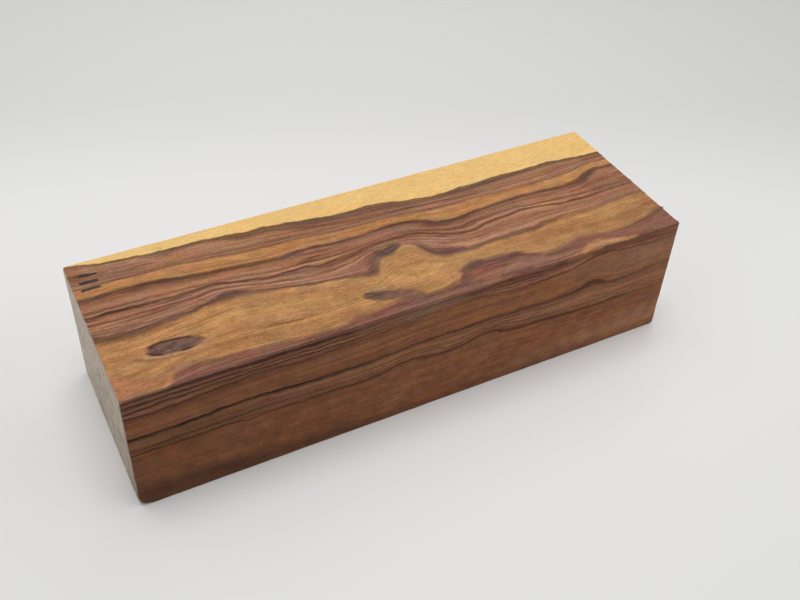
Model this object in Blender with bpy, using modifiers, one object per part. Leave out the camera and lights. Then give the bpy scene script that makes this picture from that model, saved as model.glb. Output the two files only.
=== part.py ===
"""Sawn block of desert ironwood, dark heartwood with a strip of pale sapwood along one edge.

One solid piece of wood, cut from the log by saw and left unplaned. Metres, +Z up. The origin
is at the centre of the face that the block lies on, +X runs along the grain and -Y is the
front face. The sapwood lies along the back of the top face, widest at the +X end.
"""

import math

import bmesh
import bpy
from mathutils import Matrix, Vector

OBJECT_NAME = "arizona_ironwood_block"
NODE_NAME = "ironwood_block"

# Driving dimensions
LENGTH = 0.127
WIDTH = 0.0411
HEIGHT = 0.0306

# The sawn edges are barely eased, as a saw and some handling leave them
ARRIS = 0.00014
ARRIS_SEGMENTS = 2
SQUARE_EDGE_ANGLE = math.radians(60)

# Corners that knocks have rounded: which way each lies in X, Y and Z, and how far the rounding reaches
WORN_CORNERS = (
    ((-1, -1, -1), 0.0013),
    ((-1, 1, 1), 0.0007),
    ((1, 1, -1), 0.0009),
    ((1, -1, -1), 0.0006),
)
WORN_CORNER_SEGMENTS = 4

# A chip out of the left end's lower edge, beside the worn corner
CHIP_LENGTH = 0.0016
CHIP_DEPTH = 0.0004
CHIP_HEIGHT = 0.0007
CHIP_FROM_FRONT = 0.0036
CHIP_SIDES = 8

# Looks of the sawn heartwood
HEARTWOOD_COLOUR = (0.27, 0.13, 0.065, 1.0)
SAWN_ROUGHNESS = 0.6


def empty_the_file():
    for item in list(bpy.data.objects):
        bpy.data.objects.remove(item, do_unlink=True)


def new_collection(name):
    collection = bpy.data.collections.new(name)
    bpy.context.scene.collection.children.link(collection)
    return collection


def heartwood_material():
    """Matt dark wood, for the whole block."""
    material = bpy.data.materials.new("sawn_ironwood")
    material.use_nodes = True
    surface = material.node_tree.nodes["Principled BSDF"]
    surface.inputs["Base Color"].default_value = HEARTWOOD_COLOUR
    surface.inputs["Roughness"].default_value = SAWN_ROUGHNESS
    surface.inputs["Metallic"].default_value = 0.0
    material.diffuse_color = HEARTWOOD_COLOUR
    return material


def round_worn_corners(bm):
    """Rounds each worn corner of the box, all of them at the block's own vertices."""
    for direction, reach in WORN_CORNERS:
        corner = Vector((
            direction[0] * LENGTH / 2,
            direction[1] * WIDTH / 2,
            HEIGHT if direction[2] > 0 else 0.0,
        ))
        vertex = min(bm.verts, key=lambda v: (v.co - corner).length)
        bmesh.ops.bevel(
            bm,
            geom=[vertex],
            offset=reach,
            offset_type="OFFSET",
            segments=WORN_CORNER_SEGMENTS,
            profile=0.5,
            affect="VERTICES",
        )


def sawn_block(collection):
    """The box as it was sawn, standing on Z = 0, its corners worn and its edges eased."""
    bm = bmesh.new()
    bmesh.ops.create_cube(bm, size=1.0)
    bmesh.ops.scale(bm, vec=(LENGTH, WIDTH, HEIGHT), verts=bm.verts)
    bmesh.ops.translate(bm, vec=(0.0, 0.0, HEIGHT / 2), verts=bm.verts)
    round_worn_corners(bm)
    mesh = bpy.data.meshes.new(NODE_NAME)
    bm.to_mesh(mesh)
    bm.free()
    block = bpy.data.objects.new(NODE_NAME, mesh)
    collection.objects.link(block)

    easing = block.modifiers.new("eased_edges", "BEVEL")
    easing.width = ARRIS
    easing.segments = ARRIS_SEGMENTS
    easing.limit_method = "ANGLE"
    easing.angle_limit = SQUARE_EDGE_ANGLE
    return block


def chip_cutter(collection):
    """A lens-shaped bite, flattened in height, that lies across the left end's lower edge."""
    bm = bmesh.new()
    bmesh.ops.create_uvsphere(bm, u_segments=CHIP_SIDES, v_segments=CHIP_SIDES // 2, radius=0.5)
    shape = Matrix.Diagonal((2 * CHIP_DEPTH, CHIP_LENGTH, 2 * CHIP_HEIGHT, 1.0))
    place = Matrix.Translation((-LENGTH / 2, -WIDTH / 2 + CHIP_FROM_FRONT, 0.0))
    bmesh.ops.transform(bm, matrix=place @ shape, verts=bm.verts)
    mesh = bpy.data.meshes.new("edge_chip")
    bm.to_mesh(mesh)
    bm.free()
    cutter = bpy.data.objects.new("edge_chip", mesh)
    collection.objects.link(cutter)
    cutter.hide_render = True
    cutter.display_type = "WIRE"
    return cutter


def cut_chip(block, cutter):
    chip = block.modifiers.new("edge_chip", "BOOLEAN")
    chip.operation = "DIFFERENCE"
    chip.solver = "EXACT"
    chip.object = cutter


def main():
    empty_the_file()
    parts = new_collection(OBJECT_NAME)
    cutters = new_collection("cutters")
    block = sawn_block(parts)
    block.data.materials.append(heartwood_material())
    cut_chip(block, chip_cutter(cutters))


main()
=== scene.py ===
import math

import bpy
import numpy as np
from mathutils import Matrix, Vector


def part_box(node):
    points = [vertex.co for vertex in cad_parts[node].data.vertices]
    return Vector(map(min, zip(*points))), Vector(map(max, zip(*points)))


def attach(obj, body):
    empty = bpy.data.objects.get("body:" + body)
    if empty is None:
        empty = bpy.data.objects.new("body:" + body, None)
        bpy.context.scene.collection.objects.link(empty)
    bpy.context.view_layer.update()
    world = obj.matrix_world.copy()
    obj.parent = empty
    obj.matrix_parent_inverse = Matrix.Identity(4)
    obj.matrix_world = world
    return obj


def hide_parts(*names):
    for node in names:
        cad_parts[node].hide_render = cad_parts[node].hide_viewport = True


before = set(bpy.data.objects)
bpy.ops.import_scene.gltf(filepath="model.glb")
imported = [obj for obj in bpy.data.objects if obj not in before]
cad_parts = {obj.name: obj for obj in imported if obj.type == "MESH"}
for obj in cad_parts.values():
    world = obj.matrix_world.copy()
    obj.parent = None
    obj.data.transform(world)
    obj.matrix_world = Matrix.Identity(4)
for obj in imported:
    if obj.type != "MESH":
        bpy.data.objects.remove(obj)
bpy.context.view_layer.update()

# The block is one piece of desert ironwood, sawn square from the log and left unplaned. It lies
# on its lower face with the grain along it, so the saw's fine unevenness and the hardly eased
# edges are still there. All sizes in this section are millimetres, from the left lower front.
MM = 0.001
node_low, node_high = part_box("ironwood_block")
LENGTH, WIDTH, HEIGHT = ((node_high - node_low) / MM)[:]
STEP_ALONG = 0.8
STEP_ACROSS = 0.36
EDGE_EASING = 0.14
EASING_UNEVEN = 0.6

# The worn corners: 0 or 1 for left or right, front or back, bottom or top. Then how far the
# rounding of each reaches.
WORN_CORNERS = (
    ((0, 0, 0), 1.3),
    ((0, 1, 1), 0.45),
    ((1, 1, 1), 0.3),
    ((1, 1, 0), 0.6),
    ((1, 0, 0), 0.35),
    ((0, 0, 1), 0.3),
)

# The chip in the left end's lower edge: where it lies, half its length, its depth and its height
CHIP_AT = 3.6
CHIP_HALF = 0.8
CHIP_DEEP = 0.4
CHIP_HIGH = 0.7

# Splinters that the saw raised along the right end's upper edge: place from the back, length out.
# Each is broad at its root and rises a little as it stands out.
SPLINTERS = ((11.5, 0.10), (22.8, 0.18), (28.4, 0.12), (34.8, 0.34), (40.5, 0.16))
SPLINTER_HALF = 0.22
SPLINTER_ROOT = 0.1
SPLINTER_RISE = 0.45

# How far the saw drifted, broadly and finely, and how deep its marks and their roughness are
DRIFT_BROAD = 0.035
DRIFT_FINE = 0.012
BLADE_MARK = 0.006
BLADE_ROUGH = 0.005


def rungs(size, step):
    """Places along one side, closer together where the edges are eased."""
    near = EDGE_EASING * np.array([0.0, 0.586, 1.0, 1.7])
    middle = np.linspace(near[-1], size - near[-1], round(size / step) + 1)[1:-1]
    return np.concatenate([near, middle, size - near[::-1]])


def skin_of_box(counts):
    """Four corners for each small face of a box's surface, and which side of the box it is on."""
    corners, sides = [], []
    for axis in range(3):
        b, c = (axis + 1) % 3, (axis + 2) % 3
        steps_b, steps_c = np.arange(counts[b] - 1), np.arange(counts[c] - 1)
        along_b, along_c = np.meshgrid(steps_b, steps_c, indexing="ij")
        for high in (False, True):
            ring = [(0, 0), (1, 0), (1, 1), (0, 1)] if high else [(0, 0), (0, 1), (1, 1), (1, 0)]
            spots = np.zeros((along_b.size, 4, 3), int)
            for n, (add_b, add_c) in enumerate(ring):
                spots[:, n, axis] = counts[axis] - 1 if high else 0
                spots[:, n, b] = along_b.ravel() + add_b
                spots[:, n, c] = along_c.ravel() + add_c
            corners.append(spots)
            sides.append(np.full(along_b.size, 2 * axis + high))
    return np.concatenate(corners), np.concatenate(sides)


def soft_noise(places, size, seed):
    """Smooth noise from -1 to 1 over points in millimetres, with lumps about as big as size."""
    cells = places / np.asarray(size, float)
    cells = cells - cells.min(0)
    first = np.floor(cells).astype(int)
    part = cells - first
    part = part * part * (3 - 2 * part)
    table = np.random.default_rng(seed).uniform(-1, 1, first.max(0) + 2)
    total = np.zeros(len(places))
    for corner in np.ndindex(2, 2, 2):
        weight = np.prod(np.where(corner, part, 1 - part), axis=1)
        total += weight * table[tuple((first + corner).T)]
    return total


def eased(low, high, value):
    """0 below low, 1 above high, and a smooth rise between them."""
    part = np.clip((value - low) / (high - low), 0, 1)
    return part * part * (3 - 2 * part)


lattice = [rungs(LENGTH, STEP_ALONG), rungs(WIDTH, STEP_ACROSS), rungs(HEIGHT, STEP_ACROSS)]
counts = [len(places) for places in lattice]
quads, quad_sides = skin_of_box(counts)
keys = (quads[..., 0] * counts[1] + quads[..., 1]) * counts[2] + quads[..., 2]
points, quad_points = np.unique(keys, return_inverse=True)
quad_points = quad_points.reshape(-1, 4)
index = np.stack(np.unravel_index(points, counts), 1)
flat = np.stack([lattice[axis][index[:, axis]] for axis in range(3)], 1)
sizes = np.array([LENGTH, WIDTH, HEIGHT])

# Rounds the edges: a point keeps its distance from the box that lies inside the rounding
rounding = EDGE_EASING * (1 + EASING_UNEVEN * soft_noise(flat, 3.0, 11))
for direction, reach in WORN_CORNERS:
    away = np.linalg.norm(flat - sizes * direction, axis=1)
    rounding += (reach - EDGE_EASING) * (1 - eased(0.8 * reach, 2.0 * reach, away))
inner = np.clip(flat, rounding[:, None], sizes - rounding[:, None])
outward = (flat - inner) / np.linalg.norm(flat - inner, axis=1)[:, None]

# The saw's drift, and blade marks that run across the grain and fade in and out
drift = DRIFT_BROAD * soft_noise(flat, (23.0, 17.0, 17.0), 12)
drift += DRIFT_FINE * soft_noise(flat, (4.0, 3.0, 3.0), 13)
blade = BLADE_MARK * soft_noise(flat, (1.7, 30.0, 30.0), 14)
blade += BLADE_ROUGH * soft_noise(flat, (0.9, 0.8, 0.8), 15)
shaped = inner + outward * (rounding + drift + blade)[:, None]
shaped[:, 2] = np.maximum(shaped[:, 2], 0)

# The chip: wood gone from the left end's lower edge
bite = np.sqrt(
    (flat[:, 0] / CHIP_DEEP) ** 2
    + ((flat[:, 1] - CHIP_AT) / CHIP_HALF) ** 2
    + (flat[:, 2] / CHIP_HIGH) ** 2
)
bitten = 1 - eased(0.2, 1.15, bite)
shaped[:, 0] += CHIP_DEEP * bitten
shaped[:, 2] += 0.25 * CHIP_HIGH * bitten

# The splinters stand out of the right end's upper edge and thin out to each side
on_upper_edge = np.hypot(LENGTH - flat[:, 0], HEIGHT - flat[:, 2]) < SPLINTER_ROOT
for from_back, length in SPLINTERS:
    off_splinter = (WIDTH - flat[:, 1] - from_back) / SPLINTER_HALF
    near_by = np.exp(-(off_splinter**2)) * on_upper_edge
    shaped[:, 0] += near_by * length
    shaped[:, 2] += near_by * length * SPLINTER_RISE

mesh = bpy.data.meshes.new("ironwood")
mesh.from_pydata((shaped - [LENGTH / 2, WIDTH / 2, 0]) * MM, [], quad_points.tolist())
mesh.shade_smooth()

# On the flat map all the sides are at one scale: the top, front, bottom and back in rows, and the
# two ends to the right of them. Each row gives its side's two axes and where it starts.
MAP_GAP = 1.6
MAP_SIZE = LENGTH + HEIGHT + 3 * MAP_GAP
ROWS = {
    5: (0, 1, MAP_GAP, MAP_GAP),
    2: (0, 2, MAP_GAP, 2 * MAP_GAP + WIDTH),
    4: (0, 1, MAP_GAP, 3 * MAP_GAP + WIDTH + HEIGHT),
    3: (0, 2, MAP_GAP, 4 * MAP_GAP + 2 * WIDTH + HEIGHT),
    0: (2, 1, 2 * MAP_GAP + LENGTH, MAP_GAP),
    1: (2, 1, 2 * MAP_GAP + LENGTH, 2 * MAP_GAP + WIDTH),
}
on_map = np.zeros((len(quads), 4, 2))
for side, (right_axis, up_axis, right, up) in ROWS.items():
    mine = quad_sides == side
    corners_flat = flat[quad_points[mine]]
    on_map[mine, :, 0] = (corners_flat[..., right_axis] + right) / MAP_SIZE
    on_map[mine, :, 1] = (corners_flat[..., up_axis] + up) / MAP_SIZE
mesh.uv_layers.new(name="OFBake").uv.foreach_set("vector", on_map.astype(np.float32).ravel())

block = bpy.data.objects.new("ironwood", mesh)
bpy.context.scene.collection.objects.link(block)

# The growth layers are rings round the log's middle, which lay in front of the block and below
# it. Each layer is named by how far from the back it crosses the top face, and past the front
# edge by how far below that edge it crosses the front face, so a depth runs from 0 to 71.7.
LOG_MIDDLE_Y = -7.0
LOG_MIDDLE_Z = -14.0
KNOWN_FACES = WIDTH + HEIGHT

FRONT = WIDTH


def on_front(*places):
    """Places from the left with their depths, which are given here from the front's upper edge."""
    return tuple((along_edge, FRONT + below) for along_edge, below in places)


# Each layer's line: where it crosses, as place from the left and depth, how thick it is and how
# plain. Then its colour, the colour of the wood below it, over what depth that begins, and how
# streaky that wood is.
LAYERS = {
    "sapwood_edge": (
        ((0, 0.1), (2, 0.6), (5, 1.35), (7, 1.9), (10, 2.2), (13, 2.3), (17, 3.0), (20, 3.1),
         (25, 3.2), (29, 3.3), (32, 3.6), (35, 4.0), (38, 4.3), (41, 4.2), (45, 4.6), (48, 5.0),
         (50, 5.4), (53, 6.0), (56, 6.5), (60, 6.7), (64, 6.8), (66, 6.6), (70, 7.2), (73, 8.0),
         (76, 8.5), (78, 9.0), (81, 9.3), (85, 9.3), (88, 8.9), (92, 8.9), (96, 8.7), (100, 8.6),
         (105, 8.8), (110, 8.5), (114, 8.6), (118, 9.2), (122, 9.6), (127, 9.8)),
        ((0, 0.45), (60, 0.5), (84, 0.4), (127, 0.45)),
        ((0, 0.85), (48, 0.8), (56, 0.7), (88, 0.72), (127, 0.8)),
        (0.112, 0.060, 0.016), (0.335, 0.165, 0.088), 0.35, 0.8,
    ),
    "sapwood_shade": (
        ((0, 1.5), (5, 1.8), (10, 2.5), (13, 2.7), (17, 3.3), (29, 3.7), (35, 4.4), (38, 4.7),
         (41, 4.6), (48, 5.4), (53, 6.4), (56, 6.9), (64, 7.2), (70, 7.6), (73, 8.4), (78, 9.4),
         (81, 9.6), (85, 9.6), (92, 9.2), (100, 9.0), (105, 9.1), (110, 8.9), (114, 9.0), (118, 9.5),
         (127, 10.2)),
        ((0, 0.4), (14, 0.7), (17, 1.5), (22, 1.3), (26, 0.8), (33, 1.1), (36, 1.9), (40, 1.5),
         (46, 1.2), (50, 1.8), (56, 1.5), (60, 1.2), (66, 1.2), (70, 1.4), (73, 1.2), (77, 0.8),
         (83, 0.9), (86, 1.3), (100, 1.5), (105, 1.1), (112, 0.8), (127, 0.9)),
        ((0, 0.3), (15, 0.4), (17, 0.7), (22, 0.7), (27, 0.35), (33, 0.5), (36, 0.8), (42, 0.55),
         (50, 0.7), (60, 0.7), (72, 0.6), (78, 0.35), (84, 0.7), (96, 0.75), (104, 0.5), (110, 0.4),
         (127, 0.5)),
        (0.115, 0.062, 0.040), (0.345, 0.165, 0.090), 1.0, 0.9,
    ),
    "thin_upper_line": (
        ((0, 6.9), (5, 7.0), (20, 7.4), (30, 7.6), (34, 8.6), (40, 9.0), (45, 9.6), (50, 10.2),
         (60, 10.9), (75, 11.6), (90, 12.2), (127, 11.2)),
        ((0, 0.4), (127, 0.5)),
        ((0, 0.5), (46, 0.45), (56, 0.1), (84, 0.3), (105, 0.5), (127, 0.5)),
        (0.140, 0.066, 0.040), (0.405, 0.203, 0.112), 0.6, 0.9,
    ),
    "red_line": (
        ((0, 8.2), (7, 8.2), (15, 8.6), (20, 8.3), (25, 9.0), (31, 9.8), (35, 10.3), (40, 10.6),
         (45, 10.8), (50, 11.2), (55, 12), (65, 12), (70, 12.5), (75, 13.2), (80, 13.8), (85, 13.8),
         (90, 13.6), (95, 14), (100, 14.2), (105, 14.2), (110, 14), (115, 13.7), (120, 12.6),
         (127, 12.6)),
        ((0, 0.5), (60, 0.6), (100, 0.7), (127, 0.6)),
        ((0, 0.55), (60, 0.55), (127, 0.6)),
        (0.150, 0.064, 0.036), (0.510, 0.240, 0.092), 0.7, 0.5,
    ),
    "broad_line": (
        ((0, 11.2), (5, 11.2), (10, 11.2), (15, 11.4), (19, 12.4), (24, 13.2), (30, 13.8), (34, 14.4),
         (38, 14.9), (42, 15.1), (46, 14.5), (50, 14.8), (52, 15.2), (56, 15.3), (60, 15.4),
         (63, 15.2), (66, 14.8), (70, 14.9), (73, 15.5), (75.5, 16.8), (77, 17.9), (80, 18.5),
         (84, 18.4), (88, 17.7), (93, 17.7), (100, 17.4), (105, 17.8), (110, 18.1), (114, 17.7),
         (116, 17.2), (118, 16.0), (121, 15.1), (127, 15.2)),
        ((0, 1.6), (10, 1.5), (30, 1.1), (46, 1.2), (60, 1.0), (70, 1.2), (75.5, 1.9), (80, 1.2),
         (90, 1.0), (100, 1.0), (112, 1.2), (117, 2.1), (121, 1.3), (127, 1.0)),
        ((0, 0.9), (60, 0.85), (90, 0.92), (127, 0.92)),
        (0.070, 0.030, 0.019), (0.370, 0.168, 0.090), 1.0, 0.9,
    ),
    "upper_triple_line": (
        ((0, 15.9), (13, 16), (22, 16.6), (28, 17.0), (33, 17.9), (40, 18.8), (45, 19), (57, 19),
         (60, 18.6), (66, 18.2), (70, 18.5), (75, 20.4), (78, 21.5), (82, 21.9), (85, 21), (88, 20.9),
         (96, 20.5), (98, 21.0), (104, 21.6), (110, 22.2), (127, 22.2)),
        ((0, 0.6), (60, 0.4), (127, 0.5)),
        ((0, 0.6), (30, 0.5), (60, 0.35), (75, 0.55), (127, 0.55)),
        (0.085, 0.036, 0.020), (0.375, 0.172, 0.093), 0.5, 1.0,
    ),
    "middle_triple_line": (
        ((0, 17.0), (5, 17.0), (10, 17.4), (15, 17.5), (18, 17.8), (24, 17.4), (27, 17.7), (30, 18.4),
         (32, 19), (36, 19.9), (40, 20.2), (45, 20.2), (48, 21.2), (51, 21.1), (54, 20.6), (57, 20.1),
         (60, 19.5), (63, 19.2), (70, 19.4), (72, 20), (74, 21), (76, 22), (79, 23.4), (81, 23.9),
         (84, 23.9), (86, 23), (90, 22.5), (94, 22.3), (97, 21.7), (100, 22.2), (103, 22.8),
         (106, 23.5), (110, 23.8), (115, 23.8), (120, 23.4), (127, 23.5)),
        ((0, 1.15), (16, 1.0), (28, 0.7), (60, 0.7), (127, 0.7)),
        ((0, 0.95), (20, 0.9), (60, 0.8), (90, 0.75), (127, 0.72)),
        (0.075, 0.030, 0.020), (0.400, 0.190, 0.105), 0.5, 1.0,
    ),
    "lower_triple_line": (
        ((0, 19.6), (5, 19.8), (20, 20), (25, 19.3), (29, 19.9), (32, 20.7), (35, 21.6), (38, 22.3),
         (42, 23.2), (46, 23.5), (50, 23.6), (53, 23.2), (55, 22.5), (58, 21.4), (61, 20.7),
         (64, 20.4), (70, 21.2), (76, 24.2), (82, 25.4), (90, 24.6), (100, 24.4), (110, 25.4),
         (127, 25.0)),
        ((0, 0.5), (127, 0.45)),
        ((0, 0.5), (30, 0.6), (56, 0.7), (62, 0.45), (70, 0.3), (80, 0.35), (127, 0.35)),
        (0.100, 0.042, 0.025), (0.425, 0.208, 0.118), 0.6, 1.0,
    ),
    "purple_line": (
        ((0, 23.0), (3, 23.5), (7, 23.7), (12, 23.5), (16, 23.3), (19, 23.0), (23, 22.1), (26, 21.3),
         (29, 21.5), (32, 22.4), (34, 23.1), (38, 24.1), (42, 25), (46, 25.8), (50, 26.4), (54, 26.8),
         (57.6, 27.6), (58.6, 26.2), (59.2, 24.2), (61.5, 23.0), (64, 22.4), (66, 22.0), (68, 22.1),
         (69.4, 22.8), (70.2, 24.7), (71.0, 26.4), (73, 27.7), (77, 28.6), (81, 29.0), (86, 28.6),
         (90, 28.5), (96, 28.5), (99, 27.8), (105, 27.5), (110, 27.7), (114, 27.7), (118, 26.9),
         (121, 26.9), (127, 26.6)),
        ((0, 2.0), (7, 2.0), (12, 1.6), (16, 1.2), (22, 1.2), (26, 2.2), (30, 2.0), (36, 0.9),
         (48, 0.8), (54, 1.1), (57, 2.0), (60, 1.4), (63, 0.7), (68, 0.5), (71, 1.8), (74, 1.8),
         (78, 1.4), (82, 0.9), (90, 1.2), (96, 1.4), (105, 1.0), (127, 1.1)),
        ((0, 0.95), (12, 0.9), (22, 0.85), (26, 1.0), (34, 0.85), (58, 0.75), (66, 0.45), (72, 0.8),
         (82, 0.75), (96, 0.75), (106, 0.65), (127, 0.6)),
        (0.100, 0.042, 0.030), (0.470, 0.237, 0.094), 1.0, 0.45,
    ),
    "purple_band": (
        ((0, 41.8), (8.6, 41.5), (9.8, 40.2), (11.0, 38.4), (12.5, 37.4), (16, 37.0), (20, 37.6),
         (25, 38.1), (30, 38.6), (34, 38.9), (38, 39.3), (42, 39.6), (45, 39.4), (47, 38.8),
         (50, 38.6), (53, 38.2), (56, 37.6), (60, 36.9), (62, 37.8), (65, 38.2), (70, 38.1),
         (72.3, 37.8), (72.9, 36.6), (73.3, 35.2), (74.6, 34.1), (77, 33.3), (80, 33.4), (85, 33.8),
         (88, 34.6), (90, 35.8), (92, 36.8), (94, 37.2), (97, 36.9), (100, 36.0), (103, 35.8),
         (106, 35.7), (108, 36.3), (110, 36.8), (113, 36.9), (117, 36.6), (120, 36), (123, 35),
         (127, 33.6)),
        ((0, 0.4), (12, 1.6), (30, 1.2), (45, 1.2), (55, 1.4), (70, 1.2), (74, 2.6), (80, 2.2),
         (87, 1.8), (92, 0.9), (108, 0.7), (127, 0.8)),
        ((0, 0.1), (14, 0.2), (24, 0.4), (40, 0.45), (62, 0.4), (70, 0.4), (72, 0.15), (74.5, 0.2),
         (76.5, 0.6), (80, 0.45), (87, 0.5), (92, 0.35), (127, 0.4)),
        (0.115, 0.050, 0.040), (0.265, 0.115, 0.076), 1.1, 0.8,
    ),
    "edge_stripe_high": (
        on_front((0, 0.6), (20, 0.5), (45, 0.9), (70, 0.7), (95, 0.9), (104, 0.1), (112, 0.3),
                 (127, 0.7)),
        ((0, 0.7), (30, 0.9), (60, 0.6), (127, 0.4)),
        ((0, 0.95), (30, 1.0), (48, 0.85), (96, 0.7), (104, 0.4), (127, 0.5)),
        (0.060, 0.020, 0.011), (0.340, 0.139, 0.070), 0.4, 0.8,
    ),
    "edge_stripe_middle": (
        on_front((0, 2.2), (20, 1.9), (45, 2.3), (70, 1.7), (90, 2.0), (104, 0.6), (112, 0.9),
                 (127, 1.4)),
        ((0, 0.4), (127, 0.35)),
        ((0, 0.9), (40, 0.85), (60, 0.75), (96, 0.6), (127, 0.4)),
        (0.060, 0.021, 0.012), (0.350, 0.146, 0.074), 0.4, 0.8,
    ),
    "edge_stripe_low": (
        on_front((0, 3.5), (20, 2.9), (45, 3.2), (70, 2.3), (90, 2.9), (104, 1.1), (112, 1.4),
                 (127, 2.1)),
        ((0, 0.4), (127, 0.35)),
        ((0, 0.9), (40, 0.85), (60, 0.75), (96, 0.65), (127, 0.4)),
        (0.064, 0.023, 0.013), (0.350, 0.146, 0.073), 0.4, 0.7,
    ),
    "front_upper_line": (
        on_front((0, 4.9), (5, 5.1), (10, 4.9), (15, 4.5), (20, 4.2), (25, 4), (30, 4.2), (38, 4.5),
                 (42, 4.5), (45, 4.2), (50, 4), (55, 3.8), (60, 3.3), (65, 3.2), (70, 3), (75, 3.1),
                 (80, 3.6), (85, 3.9), (90, 3.8), (95, 3.8), (99, 3.2), (102, 2.2), (105, 1.7),
                 (108, 1.6), (112, 2.1), (116, 2.6), (120, 3), (127, 2.8)),
        ((0, 0.5), (60, 0.45), (100, 0.6), (127, 0.45)),
        ((0, 0.9), (60, 0.65), (100, 0.85), (127, 0.8)),
        (0.078, 0.029, 0.016), (0.335, 0.131, 0.055), 0.5, 0.55,
    ),
    "front_strong_line": (
        on_front((0, 10.6), (10, 10.6), (15, 10.3), (20, 10), (25, 9.8), (30, 10), (35, 10.5),
                 (40, 10.7), (45, 10.8), (50, 10.9), (55, 10.5), (60, 10.2), (65, 10.3), (75, 10.2),
                 (80, 10.1), (83, 10.4), (88, 10.4), (92, 10.8), (97, 10.8), (101, 10.4), (103.5, 9.4),
                 (105, 8.7), (107, 9.6), (109, 10.5), (112, 11.1), (115, 11.2), (118, 10.7),
                 (122, 10.2), (127, 10.1)),
        ((0, 0.9), (40, 0.9), (62, 0.7), (95, 0.75), (102, 0.9), (105, 1.5), (108, 0.9), (127, 0.8)),
        ((0, 1.0), (40, 0.95), (60, 0.8), (90, 0.66), (98, 0.66), (105, 0.85), (110, 0.6), (127, 0.5)),
        (0.028, 0.008, 0.004), (0.345, 0.150, 0.070), 0.6, 0.7,
    ),
    "front_pair_upper": (
        on_front((0, 13.8), (5, 14.1), (10, 13.8), (30, 13.8), (38, 14.1), (45, 14.3), (52, 14),
                 (57, 13.5), (60, 13), (64, 13.7), (68, 14.3), (72, 14.2), (75, 13.2), (77, 12.7),
                 (80, 12.9), (84, 13.6), (88, 14.2), (93, 14.8), (100, 15.1), (110, 15.5), (127, 15.4)),
        ((0, 0.4), (127, 0.45)),
        ((0, 0.8), (30, 0.55), (60, 0.6), (80, 0.75), (100, 0.6), (127, 0.4)),
        (0.080, 0.028, 0.013), (0.318, 0.130, 0.057), 0.5, 0.7,
    ),
    "front_pair_lower": (
        on_front((0, 14.9), (10, 15), (15, 15.2), (20, 15.2), (23, 15.6), (30, 15.6), (40, 15.8),
                 (50, 15.8), (54, 15.2), (57, 14.6), (60, 14.4), (63, 15.1), (66, 15.6), (70, 15.6),
                 (73, 15.1), (76, 14.2), (78, 13.8), (80, 14.2), (83, 15.3), (87, 15.7), (92, 16.2),
                 (98, 16.6), (105, 16.9), (127, 16.8)),
        ((0, 0.55), (127, 0.65)),
        ((0, 0.85), (30, 0.75), (60, 0.8), (90, 0.85), (127, 0.5)),
        (0.058, 0.020, 0.010), (0.312, 0.120, 0.050), 0.6, 0.38,
    ),
    "front_faint_line": (
        on_front((0, 19), (50, 18.2), (83, 17.2), (100, 19), (127, 18.5)),
        ((0, 0.6), (127, 0.6)),
        ((0, 0.15), (60, 0.15), (80, 0.3), (127, 0.4)),
        (0.160, 0.062, 0.028), (0.315, 0.121, 0.050), 1.5, 0.3,
    ),
    "bottom_shade": (
        on_front((0, 24.2), (10, 24.6), (20, 25.4), (34, 26.6), (42, 26.0), (50, 28.0), (70, 28.6),
                 (127, 29.4)),
        ((0, 3.2), (30, 2.6), (42, 2.6), (50, 1.6), (127, 1.0)),
        ((0, 0.45), (25, 0.4), (42, 0.35), (50, 0.3), (127, 0.2)),
        (0.135, 0.052, 0.027), (0.215, 0.086, 0.040), 3.2, 0.4,
    ),
}

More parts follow.
